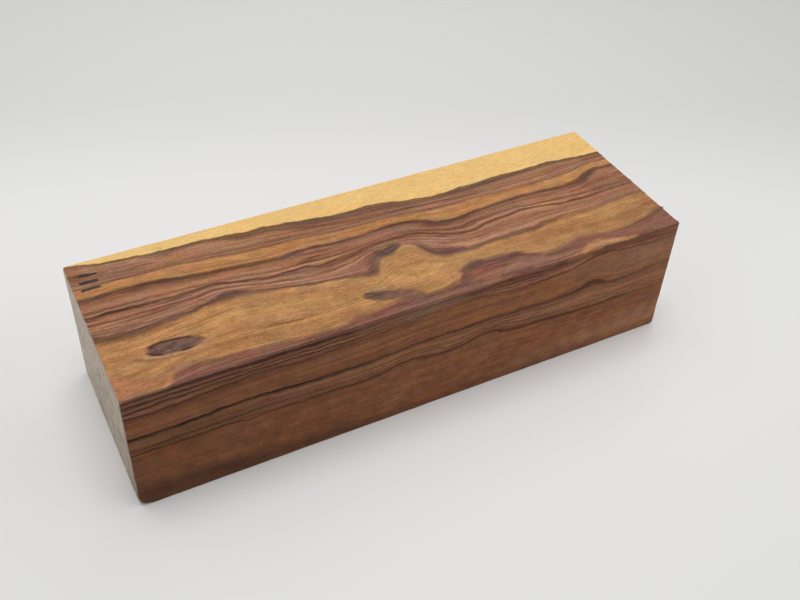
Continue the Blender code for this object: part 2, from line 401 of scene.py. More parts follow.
# Loose patches inside the layers: chains of discs, each at a place from the left and a depth,
# with its radius. Then the patch's colour, how plain it is and how soft its rim is.
PATCHES = {
    "left_glow": (
        (((3.0, 5.4, 0.6), (8.0, 5.2, 0.7), (12.0, 5.4, 0.3)),
         ((43.0, 24.4, 0.4), (50.0, 25.0, 0.6), (54.0, 25.4, 0.4))),
        (0.430, 0.215, 0.130), 0.5, 0.9,
    ),
    "left_dusk": (
        (((0.0, 14.2, 1.0), (8.0, 14.0, 1.2), (16.0, 14.6, 1.0), (22.0, 15.2, 0.5)),),
        (0.260, 0.110, 0.060), 0.5, 1.0,
    ),
    "line_blotch": (
        (((25.6, 21.9, 0.4), (27.2, 21.7, 0.8), (29.2, 22.0, 0.8), (31.0, 22.6, 0.4)),
         ((116.0, 17.6, 0.35), (118.2, 16.5, 0.4))),
        (0.115, 0.060, 0.048), 0.6, 0.4,
    ),
    "right_corner": (
        (((110.0, 38.6, 0.4), (116.0, 38.8, 1.4), (122.0, 38.4, 2.0), (127.0, 37.8, 2.6)),
         ((117.0, 33.6, 0.5), (122.0, 33.2, 1.0), (127.0, 32.4, 1.6))),
        (0.320, 0.138, 0.077), 0.48, 1.4,
    ),
    "right_redness": (
        (((84.0, 26.4, 0.8), (96.0, 25.6, 1.2), (110.0, 26.2, 1.0), (127.0, 25.6, 1.0)),),
        (0.355, 0.146, 0.070), 0.68, 1.4,
    ),
    "bottom_dusk": (
        (((12.0, 67.6, 0.6), (17.0, 68.8, 1.3), (25.0, 70.4, 1.4), (29.0, 71.0, 0.6)),
         ((41.6, 66.8, 0.5), (43.6, 68.4, 1.3), (46.4, 70.8, 1.0)),
         ((1.0, 68.2, 0.8), (6.0, 69.2, 1.0)),
         ((60.0, 71.2, 0.4), (66.0, 71.4, 0.7), (72.0, 71.3, 0.3))),
        (0.150, 0.058, 0.034), 0.5, 1.5,
    ),
    "grey_heart": (
        (((60.8, 22.8, 0.8), (62.4, 23.2, 1.2), (63.4, 23.0, 1.5), (64.6, 22.4, 1.2),
          (65.8, 21.9, 0.6)),
         ((62.6, 23.8, 0.7), (63.4, 24.0, 0.7))),
        (0.085, 0.052, 0.042), 0.92, 0.6,
    ),
    "purple_curl": (
        (((56.6, 27.8, 0.9), (57.4, 26.6, 1.1), (57.9, 25.2, 1.1), (58.8, 23.6, 1.1),
          (60.6, 22.7, 1.0)),
         ((69.8, 23.2, 0.4), (70.5, 24.6, 0.8), (71.5, 26.4, 1.2), (73.0, 27.3, 1.4),
          (75.2, 28.2, 1.2), (78.0, 28.9, 0.8))),
        (0.130, 0.058, 0.052), 0.8, 0.8,
    ),
    "curl_shade": (
        (((53.0, 26.6, 0.9), (55.5, 26.8, 0.9), (56.8, 24.2, 0.9), (59.4, 21.9, 0.7)),),
        (0.270, 0.115, 0.080), 0.5, 1.4,
    ),
    "tadpole": (
        (((52.9, 33.9, 1.0), (54.3, 34.6, 1.4), (55.8, 35.1, 1.4), (57.6, 35.7, 1.3)),),
        (0.110, 0.060, 0.052), 0.97, 0.38,
    ),
    "tadpole_tail": (
        (((56.6, 35.5, 1.3), (58.5, 36.0, 1.5), (60.2, 36.8, 1.8), (61.8, 38.2, 1.9)),),
        (0.200, 0.096, 0.070), 0.92, 0.7,
    ),
    "pale_rim": (
        (((53.0, 32.8, 0.2), (55.0, 33.3, 0.35), (57.0, 33.9, 0.2)),
         ((65.6, 23.4, 0.3), (67.0, 22.9, 0.5), (68.6, 23.8, 0.5), (68.9, 25.4, 0.3)),
         ((71.4, 37.2, 0.3), (72.0, 36.0, 0.4), (72.2, 35.0, 0.2))),
        (0.560, 0.320, 0.180), 0.55, 0.5,
    ),
    "band_heart": (
        (((74.4, 35.3, 0.7), (76.0, 34.8, 1.1), (77.6, 34.3, 1.1), (79.4, 34.1, 0.6)),
         ((82.4, 36.0, 0.4), (85.4, 35.7, 0.7), (87.2, 35.2, 0.8), (88.6, 35.1, 0.4)),
         ((81.0, 40.2, 0.3), (84.0, 40.4, 0.6), (88.0, 40.4, 0.3)),
         ((69.0, 39.5, 0.2), (73.0, 39.4, 0.4), (76.5, 39.5, 0.2))),
        (0.115, 0.055, 0.045), 0.8, 0.7,
    ),
    "band_gold": (
        (((82.6, 38.9, 0.3), (85.0, 38.2, 0.8), (88.5, 37.9, 0.7), (92.5, 38.2, 0.5)),
         ((96.5, 37.9, 0.2), (98.5, 37.2, 0.3), (100.0, 36.4, 0.2)),
         ((97.5, 39.9, 0.4), (99.0, 38.9, 0.3))),
        (0.400, 0.205, 0.120), 0.5, 0.8,
    ),
    "gold_pocket": (
        (((101.5, 40.8, 0.6), (103.6, 40.0, 1.0), (106.4, 39.6, 1.2), (109.0, 40.0, 0.8),
          (112.0, 40.5, 0.5), (115.5, 40.8, 0.3)),),
        (0.560, 0.290, 0.115), 0.9, 0.6,
    ),
    "red_patch": (
        (((90.5, 48.4, 0.8), (94.5, 48.3, 1.3), (98.5, 48.8, 1.0)),
         ((75.2, 36.7, 0.4), (76.8, 36.8, 0.6), (78.2, 37.2, 0.3)),
         ((61.0, 28.6, 0.5), (63.0, 28.0, 0.6), (68.5, 27.0, 0.9))),
        (0.480, 0.180, 0.085), 0.4, 1.2,
    ),
    "brown_fleck": (
        (((53.6, 60.0, 0.3), (55.2, 60.0, 0.45), (56.8, 60.2, 0.3)),),
        (0.190, 0.085, 0.055), 0.6, 0.5,
    ),
    "orange_edge": (
        (((97.5, 41.4, 0.7), (101.0, 41.3, 1.1), (105.5, 41.0, 0.9)),),
        (0.520, 0.240, 0.090), 0.55, 0.9,
    ),
    "blue_grey": (
        (((76.2, 18.2, 0.7), (78.6, 19.1, 0.8), (80.4, 19.4, 0.4)),
         ((116.0, 18.2, 0.6), (118.0, 16.9, 0.8), (119.4, 16.2, 0.4)),
         ((40.0, 15.7, 0.3), (43.0, 15.9, 0.5), (46.0, 15.6, 0.3))),
        (0.130, 0.072, 0.060), 0.55, 0.5,
    ),
    "corner_glow": (
        (((0.0, 38.5, 2.4), (5.0, 39.0, 2.0), (9.0, 39.2, 1.2)),),
        (0.375, 0.150, 0.075), 0.7, 2.4,
    ),
    "corner_dusk": (
        (((0.0, 41.2, 0.8), (4.0, 41.1, 0.7), (7.0, 41.2, 0.2)),
         ((11.2, 38.8, 0.8), (12.6, 37.2, 0.9), (13.4, 36.4, 0.4))),
        (0.270, 0.120, 0.085), 0.6, 1.2,
    ),
    "gold_bright": (
        (((56.5, 30.5, 0.6), (62.0, 31.5, 2.5), (68.0, 33.0, 3.0), (74.0, 31.5, 0.8),
          (79.0, 31.0, 0.4)),
         ((61.0, 25.8, 0.6), (62.8, 26.6, 0.7)),
         ((19.0, 29.5, 0.5), (27.0, 28.5, 1.6), (34.0, 30.0, 1.2), (45.0, 30.5, 1.0)),
         ((97.0, 34.6, 0.6), (101.0, 34.4, 0.6)),
         ((111.0, 32.2, 0.7), (115.0, 31.4, 0.6), (122.0, 30.0, 0.8))),
        (0.585, 0.318, 0.114), 0.6, 2.2,
    ),
    "gold_red": (
        (((88.0, 31.5, 1.0), (94.0, 32.2, 1.4), (104.0, 32.3, 1.8), (112.0, 34.6, 1.0),
          (120.0, 33.5, 1.2)),
         ((0.0, 30.5, 1.0), (5.0, 31.5, 1.2), (8.0, 34.0, 0.8)),
         ((14.0, 34.8, 0.6), (22.0, 35.8, 0.7), (34.0, 36.6, 0.5)),
         ((44.0, 36.6, 0.3), (51.0, 36.8, 0.5))),
        (0.390, 0.160, 0.066), 0.6, 1.6,
    ),
    "pink_curl": (
        (((57.0, 17.6, 1.0), (63.0, 17.2, 1.3), (69.0, 17.4, 1.0)),
         ((118.0, 25.2, 0.8), (123.0, 25.0, 1.2), (127.0, 24.8, 1.2))),
        (0.400, 0.165, 0.115), 0.5, 1.2,
    ),
    "olive": (
        (((68.0, 16.8, 0.4), (71.5, 17.2, 0.7), (73.5, 18.0, 0.4)),
         ((117.0, 28.0, 0.4), (119.5, 27.4, 0.8), (122.0, 26.6, 0.5)),
         ((60.0, 20.1, 0.2), (62.0, 20.6, 0.5), (66.0, 20.4, 0.3))),
        (0.300, 0.175, 0.088), 0.5, 0.8,
    ),
    "front_olive": (
        (((100.0, 46.5, 1.0), (114.0, 47.0, 2.6), (127.0, 47.0, 3.4)),
         ((86.0, 68.5, 1.0), (106.0, 68.0, 2.6), (127.0, 67.0, 3.4)),
         ((48.0, 42.8, 0.5), (60.0, 43.0, 1.1), (70.0, 42.8, 0.6))),
        (0.370, 0.192, 0.106), 0.62, 2.6,
    ),
    "sap_shade_light": (
        (((27.0, 5.2, 0.4), (32.0, 5.6, 0.6)),
         ((92.0, 11.6, 0.4), (98.0, 11.6, 0.8), (106.0, 11.4, 0.8), (112.0, 11.0, 0.7),
          (121.0, 11.2, 0.5))),
        (0.430, 0.220, 0.125), 0.65, 1.0,
    ),
    "smudge": (
        (((18.4, 1.6, 0.3), (19.4, 2.3, 0.5)),),
        (0.420, 0.260, 0.110), 0.5, 0.6,
    ),
}

# Each point's depth among the layers. Away from the top and front faces the rings wobble too.
from_left = flat[:, 0]
off_faces = np.minimum(HEIGHT - flat[:, 2], flat[:, 1])
ring = np.hypot(flat[:, 1] - LOG_MIDDLE_Y, flat[:, 2] - LOG_MIDDLE_Z)
ring += 1.6 * eased(0, 14, off_faces) * soft_noise(flat, (26.0, 15.0, 15.0), 21)
ring += 0.5 * eased(0, 9, off_faces) * soft_noise(flat, (9.0, 8.0, 8.0), 22)
top_height = HEIGHT - LOG_MIDDLE_Z
edge_ring = math.hypot(LOG_MIDDLE_Y, top_height)
ring_depth = np.where(
    ring > edge_ring,
    WIDTH - LOG_MIDDLE_Y - np.sqrt(np.maximum(ring**2 - top_height**2, 0)),
    WIDTH + top_height - np.sqrt(np.maximum(ring**2 - LOG_MIDDLE_Y**2, 0)),
)
STATION = 0.25
stations = np.arange(-20.0, LENGTH + 20.0, STATION)


def along(places, soft=0.6):
    """A value given at places from the left, at each point of the mesh, its bends softened."""
    known = np.array(places, float)
    bell = np.exp(-0.5 * (np.arange(-4 * soft, 4.01 * soft, STATION) / soft) ** 2)
    value = np.convolve(np.interp(stations, known[:, 0], known[:, 1]), bell / bell.sum(), "same")
    return np.interp(from_left, stations, value)


def store(name, *values):
    """Keeps one number for each point of the mesh, or three, for the material to read."""
    if len(values) == 1:
        numbers = mesh.attributes.new(name, "FLOAT", "POINT")
        numbers.data.foreach_set("value", values[0].astype(np.float32))
    else:
        numbers = mesh.attributes.new(name, "FLOAT_VECTOR", "POINT")
        numbers.data.foreach_set("vector", np.stack(values, 1).astype(np.float32).ravel())


for name, (places, thickness, strength, *_) in LAYERS.items():
    store(name, ring_depth - along(places), along(thickness), along(strength))

# Straightened depth: along any layer it stays the same, so fine streaks drawn in it follow the
# layers round every bend, though less closely round the curl and where the band begins
STREAK_BEND = {"purple_line": 1.6, "purple_band": 5.0}
USUAL_BEND = 0.8
FIRST = -3.0
LAST = KNOWN_FACES + 3.0
LEAST_GAP = 0.02
crossings = [along(layer[0], STREAK_BEND.get(name, USUAL_BEND)) for name, layer in LAYERS.items()]
crossings = np.stack([np.full(len(flat), FIRST), *crossings, np.full(len(flat), LAST)], 1)
crossings = np.maximum.accumulate(crossings + np.arange(crossings.shape[1]) * LEAST_GAP, axis=1)
usual = [np.mean([depth for _, depth in layer[0]]) for layer in LAYERS.values()]
straight = np.maximum.accumulate([FIRST, *usual, LAST])
above = (crossings < ring_depth[:, None]).sum(1).clip(1, crossings.shape[1] - 1)
rows = np.arange(len(flat))
start, end = crossings[rows, above - 1], crossings[rows, above]
share = np.clip((ring_depth - start) / np.maximum(end - start, 0.05), 0, 1)
flow = straight[above - 1] + share * (straight[above] - straight[above - 1])
streakiness = np.array([0.0, *[layer[-1] for layer in LAYERS.values()]])
before, here = streakiness[np.maximum(above - 2, 0)], streakiness[above - 1]
store("figure", before + (here - before) * eased(0, 0.9, ring_depth - start))
turn = np.arctan2(flat[:, 2] - LOG_MIDDLE_Z, flat[:, 1] - LOG_MIDDLE_Y) * ring
store("grain", from_left, flow, turn)

# How far below the faces the loose patches and the small knot reach
PATCH_DEEP = 2.0


def patch(chains):
    """Millimetres from the nearest chain of discs, below 0 inside it."""
    nearest = np.full(len(flat), 1e3)
    for discs in chains:
        for (x0, d0, r0), (x1, d1, r1) in zip(discs, discs[1:]):
            run = np.array([x1 - x0, d1 - d0])
            off = np.stack([from_left - x0, ring_depth - d0], 1)
            part = np.clip(off @ run / (run @ run), 0, 1)
            gap = np.linalg.norm(off - part[:, None] * run, axis=1) - (r0 + part * (r1 - r0))
            nearest = np.minimum(nearest, gap)
    return nearest + np.maximum(off_faces - PATCH_DEEP, 0)


for name, (chains, *_) in PATCHES.items():
    store(name, patch(chains))

# Where thin brown lines run close together in the gold wood and low on the front face
RIPPLES = (
    ((30.5, 34.2, 0.6), (38.0, 34.4, 1.8), (46.0, 35.8, 1.0)),
    ((18.0, 34.9, 0.5), (26.0, 35.4, 0.7)),
    ((90.0, 59.6, 0.6), (104.0, 60.6, 1.8), (118.0, 61.0, 2.2), (127.0, 60.6, 2.0)),
    ((104.0, 42.2, 0.6), (116.0, 42.6, 0.9), (127.0, 42.8, 1.0)),
)
store("ripple", patch(RIPPLES))

# The front face is darker towards the left end, and this is painted shade: the floor throws less light
# up onto that end of the face. The front half of the top face is a touch darker towards the right end.
front_painted_shade = np.interp(from_left, [0, 20, 60, 95, 127], [0.64, 0.66, 0.82, 0.87, 1.00])
top_tone = np.interp(from_left, [84, 93], [1.0, 0.96])
in_front = eased(FRONT - 0.4, FRONT + 1.2, ring_depth)
near_front = eased(20.0, 25.0, ring_depth)
store("tone_and_painted_shade", in_front * front_painted_shade + (1 - in_front) * (1 + near_front * (top_tone - 1)))

# The small knot's oval, long along the grain and a little turned
KNOT_AT = (13.4, 31.4)
KNOT_TURN = math.radians(4.0)
KNOT_HALF = (5.2, 1.85)
KNOT_FULLNESS = 2.3
off_x, off_d = from_left - KNOT_AT[0], ring_depth - KNOT_AT[1]
knot_x = off_x * math.cos(KNOT_TURN) + off_d * math.sin(KNOT_TURN)
knot_d = off_d * math.cos(KNOT_TURN) - off_x * math.sin(KNOT_TURN)
knot_out = np.abs(knot_x / KNOT_HALF[0]) ** KNOT_FULLNESS
knot_out += np.abs(knot_d / KNOT_HALF[1]) ** KNOT_FULLNESS
knot_out = knot_out ** (1 / KNOT_FULLNESS) + np.maximum(off_faces - PATCH_DEEP, 0)
store("knot", knot_out, knot_x, knot_d)
off_end = np.minimum(from_left, LENGTH - from_left)
store("end_grain", 1 - np.clip(off_end / (0.6 * EDGE_EASING), 0, 1))

# The wax on the ends thins out towards every edge. Towards the lower front it thins as well, and this
# is
# painted shade: more of the dark wood shows there, as less light falls on the lower front of each end.
WAX_PAINTED_SHADE = 0.46
WAX_AT_EDGE = 0.72
towards_front = (1 - flat[:, 1] / WIDTH + 1 - flat[:, 2] / HEIGHT) / 2
off_edge = np.minimum(flat[:, 1:], sizes[1:] - flat[:, 1:]).min(axis=1)
at_edge = WAX_AT_EDGE + (1 - WAX_AT_EDGE) * eased(0.0, 1.6, off_edge)
store("wax", (1.0 - WAX_PAINTED_SHADE * towards_front) * at_edge)

# Dry sawn heartwood: gold and red-brown wood with purple-black growth lines, hardly any gloss.
# The sapwood along the back is pale yellow.
SAPWOOD = (0.815, 0.535, 0.205)
FLECK = (0.340, 0.150, 0.062)
GLOSS = 0.12
PORE_DEPTH = 0.04 * MM

# What the streaks and the thin lines do to the wood's own colour: below 1 darker, above 1 paler
STREAK = (0.49, 0.41, 0.42)
GOLD_STREAK = (0.66, 0.54, 0.44)
PALE_STREAK = (1.32, 1.36, 1.34)
RIPPLE_LINE = (0.58, 0.48, 0.50)
wood = bpy.data.materials.new("sawn_ironwood")
wood.use_nodes = True
graph = wood.node_tree
surface = graph.nodes["Principled BSDF"]


def give(socket, value):
    """Joins an input to another node's output, or sets it to a number or a colour."""
    if isinstance(value, bpy.types.NodeSocket):
        graph.links.new(value, socket)
    elif isinstance(value, tuple) and len(socket.default_value) == 4:
        socket.default_value = (*value, 1.0)
    elif value is not None:
        socket.default_value = value


def made(kind, *given, **settings):
    """A node of the wood's material with its inputs given in order. Returns its first output."""
    new = graph.nodes.new(kind)
    for name, value in settings.items():
        setattr(new, name, value)
    for socket, value in zip(new.inputs, given):
        give(socket, value)
    return new.outputs[0]


def sum_of(a, b):
    """Two numbers added."""
    return made("ShaderNodeMath", a, b, operation="ADD")


def times(a, b):
    """Two numbers multiplied."""
    return made("ShaderNodeMath", a, b, operation="MULTIPLY")


def rise(value, low, high, start=0.0, end=1.0):
    """Gives start where the value is below low, end above high, and a smooth rise between."""
    return made("ShaderNodeMapRange", value, low, high, start, end, interpolation_type="SMOOTHSTEP")


def mixed(share, first, second, way="MIX"):
    """The first colour where share is 0 and the second where it is 1."""
    new = graph.nodes.new("ShaderNodeMix")
    new.data_type = "RGBA"
    new.blend_type = way
    give(new.inputs[0], share)
    give(new.inputs[6], first)
    give(new.inputs[7], second)
    return new.outputs[2]


def noise(place, size, detail=2.0, roughness=0.5):
    """Cloudy noise about 0.5, its lumps as long as size says along each direction."""
    scaled = made("ShaderNodeVectorMath", place, tuple(1 / s for s in size), operation="MULTIPLY")
    return made("ShaderNodeTexNoise", scaled, None, 1.0, detail, roughness)


def kept(name, which=2):
    """What the mesh keeps under this name: 1 for its three numbers, 2 for its one number."""
    new = graph.nodes.new("ShaderNodeAttribute")
    new.attribute_name = name
    return new.outputs[which]


def parts(vector):
    """The three numbers of a vector."""
    new = graph.nodes.new("ShaderNodeSeparateXYZ")
    graph.links.new(vector, new.inputs[0])
    return new.outputs


grain = kept("grain", 1)
metres = graph.nodes.new("ShaderNodeTexCoord").outputs["Object"]
place = made("ShaderNodeVectorMath", metres, (1000.0, 1000.0, 1000.0), operation="MULTIPLY")

# How far the lines wander off their course, in millimetres
wander = times(sum_of(noise(place, (4.0, 2.4, 2.4), 2.0), -0.5), 1.1)
wander = sum_of(wander, times(sum_of(noise(place, (1.6, 0.6, 0.6), 2.0, 0.6), -0.5), 0.35))

# Streaks along the grain, from long growth lines to hair-fine fibres, each about 0.5
growth = noise(grain, (60.0, 1.15, 30.0), 1.0, 0.5)
fine = noise(grain, (30.0, 0.50, 14.0), 2.0, 0.55)
short = noise(grain, (6.0, 0.36, 3.0), 2.0, 0.55)
hair = noise(grain, (2.6, 0.19, 2.6), 2.0, 0.6)
patchy = noise(place, (9.0, 5.0, 5.0), 2.0)
mottle = noise(place, (1.5, 0.8, 0.8), 3.0, 0.65)
clouds = noise(place, (3.4, 2.0, 2.4), 3.0, 0.6)

colour = SAPWOOD
for name, (*_, wood_colour, soft, _) in LAYERS.items():
    off = sum_of(parts(kept(name, 1))[0], wander)
    colour = mixed(rise(off, -0.1, soft), colour, wood_colour)

# Dark and pale streaks between the growth lines, plain in the brown wood, faint in the gold wood
# and hardly there in the sapwood
figure = kept("figure")
heart = rise(sum_of(parts(kept("sapwood_edge", 1))[0], wander), -0.2, 0.4)
gold_wood = times(
    rise(sum_of(parts(kept("purple_line", 1))[0], wander), 0.5, 2.5),
    rise(sum_of(parts(kept("purple_band", 1))[0], wander), -1.5, 0.0, 1.0, 0.0),
)
dark_streak = mixed(gold_wood, STREAK, GOLD_STREAK)
streaks = sum_of(sum_of(times(growth, 0.42), times(fine, 0.38)), times(short, 0.20))
colour = mixed(times(rise(streaks, 0.5, 0.6), times(figure, 0.8)), colour, dark_streak, "MULTIPLY")
colour = mixed(times(rise(streaks, 0.5, 0.4), times(figure, 0.85)), colour, PALE_STREAK, "MULTIPLY")
thin_lines = ((growth, 0.010, 0.035, 0.45, 0.95), (fine, 0.008, 0.028, 0.0, 0.7))
for layer, thin, thick, least, most in thin_lines:
    ridge = made("ShaderNodeMath", sum_of(layer, -0.5), operation="ABSOLUTE")
    shown = times(rise(ridge, thin, thick, 1.0, 0.0), rise(patchy, 0.36, 0.6, least, most))
    shown = times(shown, made("ShaderNodeMath", figure, times(gold_wood, 0.75), operation="MAXIMUM"))
    colour = mixed(shown, colour, dark_streak, "MULTIPLY")
flecks = times(times(rise(mottle, 0.53, 0.70), gold_wood), 0.38)
colour = mixed(flecks, colour, FLECK)

# The growth lines, uneven along their length
uneven = rise(sum_of(short, times(patchy, 0.5)), 0.5, 0.95, 1.1, 0.75)
for name, (*_, line_colour, _, soft, _) in LAYERS.items():
    off, thickness, strength = parts(kept(name, 1))
    off = sum_of(off, wander)
    crisp = min(max(0.4 * soft, 0.18), 0.5)
    outer = rise(off, -crisp, crisp)
    inner = rise(off, times(thickness, 0.55), times(thickness, 1.6), 1.0, 0.0)
    colour = mixed(times(times(outer, inner), times(strength, uneven)), colour, line_colour)

# The thin brown lines that run close together
lines = noise(grain, (20.0, 0.42, 8.0), 1.0, 0.5)
lines = rise(made("ShaderNodeMath", sum_of(lines, -0.5), operation="ABSOLUTE"), 0.015, 0.06, 0.75, 0.0)
lines = times(rise(kept("ripple"), -0.7, 0.7, 1.0, 0.0), lines)
colour = mixed(lines, colour, RIPPLE_LINE, "MULTIPLY")

# The loose patches, their rims as uneven as the lines
for name, (_, patch_colour, plain, soft) in PATCHES.items():
    off = sum_of(kept(name), times(wander, 1.2))
    shown = times(rise(off, -soft, soft, plain, 0.0), rise(short, 0.35, 0.65, 1.1, 0.7))
    colour = mixed(shown, colour, patch_colour)

# The knot: a broken dark rim, mottled purple wood inside, and a pale and a dark echo below it
KNOT_WOOD = (0.170, 0.092, 0.070)
KNOT_HEART = (0.092, 0.055, 0.050)
KNOT_RIM = (0.062, 0.030, 0.020)
PALE_ECHO = (0.500, 0.285, 0.170)
DARK_ECHO = (0.230, 0.098, 0.055)
knot_out, knot_x_in, knot_d_in = parts(kept("knot", 1))
knot_out = sum_of(knot_out, times(wander, 0.25))
colour = mixed(rise(knot_out, 0.8, 1.15, 0.9, 0.0), colour, KNOT_WOOD)
cloud = noise(place, (2.2, 1.1, 1.1), 2.0, 0.6)
inside = times(rise(knot_out, 0.6, 1.0, 1.0, 0.0), rise(cloud, 0.40, 0.62, 0.0, 0.75))
colour = mixed(inside, colour, KNOT_HEART)
rim = times(rise(knot_out, 0.66, 0.94), rise(knot_out, 0.96, 1.2, 1.0, 0.0))
broken = rise(noise(place, (2.6, 1.4, 1.4), 1.0), 0.42, 0.62, 1.0, 0.25)
colour = mixed(times(rim, broken), colour, KNOT_RIM)
below = rise(knot_d_in, 0.4, 1.4)
pale_echo = times(rise(knot_out, 1.02, 1.2), rise(knot_out, 1.22, 1.42, 1.0, 0.0))
colour = mixed(times(pale_echo, times(below, 0.5)), colour, PALE_ECHO)
dark_echo = times(rise(knot_out, 1.32, 1.5), rise(knot_out, 1.52, 1.8, 1.0, 0.0))
dark_echo = times(dark_echo, rise(knot_x_in, 0.5, 4.0, 1.0, 0.1))
colour = mixed(times(dark_echo, times(below, 0.65)), colour, DARK_ECHO)

# Slow changes of hue, from grey-brown to orange and from olive to red, plainest in the brown
# wood. The sapwood has peach-coloured streaks instead.
GREYER = (0.975, 1.015, 1.12)
MORE_ORANGE = (1.025, 0.985, 0.89)
MORE_OLIVE = (0.975, 1.045, 0.975)
REDDER = (1.03, 0.95, 1.03)
PEACH = (1.035, 0.955, 0.88)
hue_share = times(rise(heart, 0.0, 1.0, 0.15, 1.0), rise(gold_wood, 0.0, 1.0, 1.0, 0.55))
warm = rise(noise(grain, (9.0, 2.2, 6.0), 1.0), 0.32, 0.68)
warmth = mixed(warm, GREYER, MORE_ORANGE)
colour = mixed(hue_share, colour, warmth, "MULTIPLY")
red = rise(noise(place, (4.6, 2.2, 2.4), 2.0, 0.5), 0.34, 0.66)
redness = mixed(red, MORE_OLIVE, REDDER)
colour = mixed(hue_share, colour, redness, "MULTIPLY")
sap = rise(heart, 0.0, 1.0, 1.0, 0.0)
peach = rise(noise(grain, (14.0, 1.3, 9.0), 2.0, 0.5), 0.42, 0.66, 0.0, 0.75)
colour = mixed(times(sap, peach), colour, PEACH, "MULTIPLY")

# Slow changes of tone with the painted shade on the front face, clouds in the plain wood of the front,
# hair-fine fibres and pores
plain_wood = times(rise(figure, 0.2, 0.9, 1.0, 0.25), heart)
cloud_tone = rise(clouds, 0.32, 0.68, 0.84, 1.16)
dark_tone = rise(heart, 0.0, 1.0, 0.98, 0.93)
tone_and_painted_shade = times(rise(patchy, 0.3, 0.7, dark_tone, 1.05), kept("tone_and_painted_shade"))
tone_and_painted_shade = times(tone_and_painted_shade, sum_of(1.0, times(plain_wood, sum_of(cloud_tone, -1.0))))
fibre = rise(hair, 0.3, 0.7, 0.90, 1.10)
pores = rise(noise(grain, (1.3, 0.12, 1.5), 1.0), 0.60, 0.70, 1.0, 0.78)
dark_speck = rise(heart, 0.0, 1.0, 0.94, 0.84)
pale_speck = rise(heart, 0.0, 1.0, 1.06, 1.15)
speck = rise(noise(place, (0.75, 0.42, 0.42), 3.0, 0.7), 0.3, 0.7, dark_speck, pale_speck)
shaded = graph.nodes.new("ShaderNodeVectorMath")
shaded.operation = "SCALE"
graph.links.new(colour, shaded.inputs[0])
graph.links.new(times(times(tone_and_painted_shade, fibre), times(pores, speck)), shaded.inputs["Scale"])
colour = shaded.outputs[0]

# A tally in black marker near the left end: three plain strokes, one beside the other
TALLY_FROM_LEFT = (1.8, 6.0)
TALLY_FIRST = 3.5
TALLY_GAP = 2.2
TALLY_STROKES = 3
STROKE_HALF = 0.42
STROKE_END = 0.3
PEN_EDGE = 0.08
PEN_SHAKE = 0.8
PEN_SLIP = 0.35
INK = (0.030, 0.027, 0.030)
side_x, side_y, side_z = parts(place)
shaky = times(sum_of(noise(place, (3.0, 3.0, 3.0), 1.0), -0.5), PEN_SHAKE)
pen_x = sum_of(sum_of(side_x, LENGTH / 2), shaky)
pen_d = sum_of(times(sum_of(side_y, shaky), -1.0), WIDTH / 2)
count = times(sum_of(pen_d, -TALLY_FIRST), 1 / TALLY_GAP)
in_gap = sum_of(made("ShaderNodeMath", count, operation="FRACT"), -0.5)
off_stroke = times(made("ShaderNodeMath", in_gap, operation="ABSOLUTE"), TALLY_GAP)
strokes = rise(off_stroke, STROKE_HALF - PEN_EDGE, STROKE_HALF + PEN_EDGE, 1.0, 0.0)
strokes = times(strokes, rise(count, 0.0, 0.01))
strokes = times(strokes, rise(count, TALLY_STROKES - 0.01, TALLY_STROKES, 1.0, 0.0))
which_stroke = made("ShaderNodeMath", count, operation="FLOOR")
slip = times(made("ShaderNodeMath", which_stroke, operation="SINE"), PEN_SLIP)
pen_end = sum_of(pen_x, slip)
begin, stop = TALLY_FROM_LEFT
strokes = times(strokes, rise(pen_end, begin, begin + STROKE_END))
strokes = times(strokes, rise(pen_end, stop - STROKE_END, stop, 1.0, 0.0))
on_top = rise(side_z, HEIGHT - 0.4, HEIGHT - 0.2)
ink = times(strokes, times(on_top, rise(hair, 0.35, 0.65, 0.95, 0.8)))
colour = mixed(ink, colour, INK)

# The sealed ends: dark end grain under a thin film of milky wax, which is cloudy and lets the
# rings show faintly
WAX = (0.590, 0.520, 0.435)
WAX_GREENER = (0.945, 1.04, 0.97)
WAX_REDDER = (1.06, 0.955, 0.99)
END_GRAIN = (0.72, 0.72, 0.75)
rings = sum_of(times(growth, 0.5), times(fine, 0.5))
thinner = noise(place, (2.4, 1.9, 2.8), 3.0, 0.65)
# The wax's share also carries the painted shade towards each end's lower front.
wax_share_with_painted_shade = sum_of(kept("wax"), rise(thinner, 0.3, 0.7, -0.24, 0.16))
wax_share_with_painted_shade = sum_of(wax_share_with_painted_shade, rise(rings, 0.4, 0.6, 0.07, -0.07))
blush = rise(noise(place, (3.4, 2.6, 4.2), 2.0, 0.6), 0.34, 0.66)
wax = mixed(1.0, WAX, mixed(blush, WAX_GREENER, WAX_REDDER), "MULTIPLY")
end_grain = mixed(1.0, colour, END_GRAIN, "MULTIPLY")
sealed = mixed(wax_share_with_painted_shade, end_grain, wax)
on_end = rise(kept("end_grain"), 0.3, 0.7)
colour = mixed(on_end, colour, sealed)

# The surface is dull, and its pores and fibres stand out a little
graph.links.new(colour, surface.inputs["Base Color"])
roughness = rise(fine, 0.3, 0.7, 0.52, 0.62)
graph.links.new(roughness, surface.inputs["Roughness"])
surface.inputs["Specular IOR Level"].default_value = GLOSS
height = sum_of(times(hair, 0.5), times(pores, 1.0))
height = sum_of(height, times(noise(place, (0.35, 0.35, 0.35), 2.0), 0.5))
bump = graph.nodes.new("ShaderNodeBump")
bump.inputs["Strength"].default_value = 0.6
bump.inputs["Distance"].default_value = PORE_DEPTH
graph.links.new(height, bump.inputs["Height"])
graph.links.new(bump.outputs[0], surface.inputs["Normal"])

mesh.materials.append(wood)
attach(block, "root")
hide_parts("ironwood_block")

# The block lies on a plain sheet of pale paper. Its colour carries painted shade: a little greyer
# behind the block and further out, where less of the lamps' light would fall.
FLOOR_HALF = 3.0
PAPER_BELOW = 0.02 * MM
PAPER = (0.848, 0.846, 0.838, 1.0)
NO_LIGHT = (0.0, 0.0, 0.0, 1.0)
GREYER_TOWARDS = (0.41, 0.912, 0.0)
BRIGHTEST_AT = (0.021, 0.082, 0.0)
